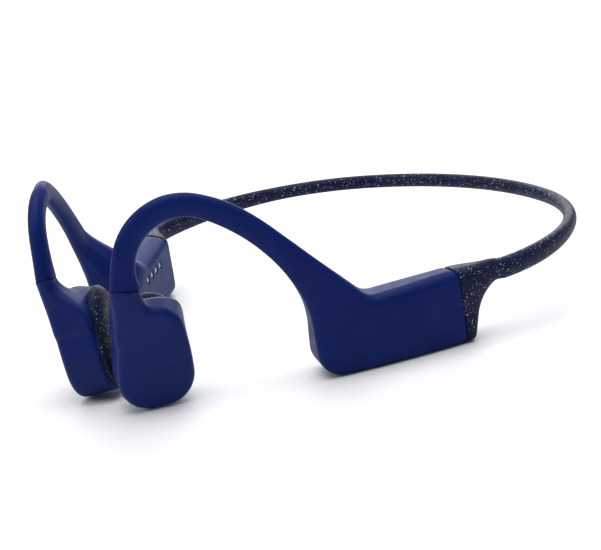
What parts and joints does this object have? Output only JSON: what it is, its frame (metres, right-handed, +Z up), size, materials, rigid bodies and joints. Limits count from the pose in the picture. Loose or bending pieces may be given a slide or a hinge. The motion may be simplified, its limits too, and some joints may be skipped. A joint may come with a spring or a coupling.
{
  "type": "bone conduction headphones",
  "caption": "Open-ear headphones: a sprung neckband joins two pods, and hooks over the ears carry pads that press on the cheekbones.",
  "frame": {"origin": "under the middle of the bounding box, on the surface the headphones rest on", "axes": "+X to the wearer's left, +Y to the back of the head, +Z up"},
  "size_m": [0.114, 0.1316, 0.046],
  "materials": {
    "blue_silicone": "satin soft-touch silicone",
    "speckled_silicone": "satin silicone with pale flecks",
    "titanium_wire": "drawn wire",
    "cable_jacket": "matt",
    "case_plastic": "fine texture",
    "gasket_rubber": "matt",
    "steel": "stamped",
    "magnet_nickel": "nickel plated",
    "copper": "enamelled winding",
    "battery_foil": "laminated foil",
    "circuit_board": "solder mask",
    "chip_black": "moulded",
    "switch_metal": "stamped",
    "gold_contact": "plated",
    "clear_plastic": "frosted"
  },
  "bodies": {
    "neckband": {"band_cable_centre": "cable_jacket", "band_core_centre": "titanium_wire", "band_skin_centre": "speckled_silicone"},
    "left_side": {"left_band_cable": "cable_jacket", "left_band_core": "titanium_wire", "left_band_skin": "speckled_silicone", "left_battery": "battery_foil", "left_battery_board": "circuit_board", "left_hook_leads_root": "cable_jacket", "left_hook_wire_root": "titanium_wire", "left_pod_case": "case_plastic", "left_pod_cover": "case_plastic", "left_pod_gasket": "gasket_rubber", "left_pod_skin": "blue_silicone"},
    "left_hook": {"left_hook_skin": "blue_silicone", "left_hook_wire": "titanium_wire", "left_hook_leads": "cable_jacket", "left_transducer_shell": "blue_silicone", "left_transducer_pad": "speckled_silicone", "left_yoke": "steel", "left_magnet": "magnet_nickel", "left_voice_coil": "copper", "left_spring_plate": "steel", "left_drive_plate": "case_plastic"},
    "right_side": {"right_band_cable": "cable_jacket", "right_band_core": "titanium_wire", "right_band_skin": "speckled_silicone", "right_board_chips": "chip_black", "right_button_switches": "switch_metal", "right_charge_contacts": "gold_contact", "right_hook_leads_root": "cable_jacket", "right_hook_wire_root": "titanium_wire", "right_light_pipe": "clear_plastic", "right_main_board": "circuit_board", "right_pod_case": "case_plastic", "right_pod_cover": "case_plastic", "right_pod_gasket": "gasket_rubber", "right_pod_skin": "blue_silicone", "right_switch_board": "circuit_board"},
    "right_hook": {"right_hook_skin": "blue_silicone", "right_hook_wire": "titanium_wire", "right_hook_leads": "cable_jacket", "right_transducer_shell": "blue_silicone", "right_transducer_pad": "speckled_silicone", "right_yoke": "steel", "right_magnet": "magnet_nickel", "right_voice_coil": "copper", "right_spring_plate": "steel", "right_drive_plate": "case_plastic"},
    "volume_up_button": {"right_volume_up_button": "blue_silicone"},
    "volume_down_button": {"right_volume_down_button": "blue_silicone"},
    "play_button": {"right_play_button": "blue_silicone"},
    "mode_button": {"right_mode_button": "blue_silicone"}
  },
  "joints": [
    {"name": "left_band_flex", "type": "hinge", "parent": "neckband", "child": "left_side", "pos_m": [0.02255, 0.06234, 0.0143], "axis": [0, 0, 1], "range_deg": [0, 30], "stiffness_Nm_per_rad": 0.35},
    {"name": "left_hook_flex", "type": "hinge", "parent": "left_side", "child": "left_hook", "pos_m": [0.03439, -0.03399, 0.0262], "axis": [0, 0, 1], "range_deg": [0, 10], "stiffness_Nm_per_rad": 0.3},
    {"name": "right_band_flex", "type": "hinge", "parent": "neckband", "child": "right_side", "pos_m": [-0.02255, 0.06234, 0.0143], "axis": [0, 0, -1], "range_deg": [0, 30], "stiffness_Nm_per_rad": 0.35},
    {"name": "right_hook_flex", "type": "hinge", "parent": "right_side", "child": "right_hook", "pos_m": [-0.03439, -0.03399, 0.0262], "axis": [0, 0, -1], "range_deg": [0, 10], "stiffness_Nm_per_rad": 0.3},
    {"name": "volume_up_press", "type": "slide", "parent": "right_side", "child": "volume_up_button", "axis": [0, 0, 1], "range_m": [0, 0.0004], "stiffness_N_per_m": 800},
    {"name": "volume_down_press", "type": "slide", "parent": "right_side", "child": "volume_down_button", "axis": [0, 0, 1], "range_m": [0, 0.0004], "stiffness_N_per_m": 800},
    {"name": "play_press", "type": "slide", "parent": "right_side", "child": "play_button", "axis": [0, 0, 1], "range_m": [0, 0.0004], "stiffness_N_per_m": 800},
    {"name": "mode_press", "type": "slide", "parent": "right_side", "child": "mode_button", "axis": [0, 0, 1], "range_m": [0, 0.0004], "stiffness_N_per_m": 800}
  ]
}
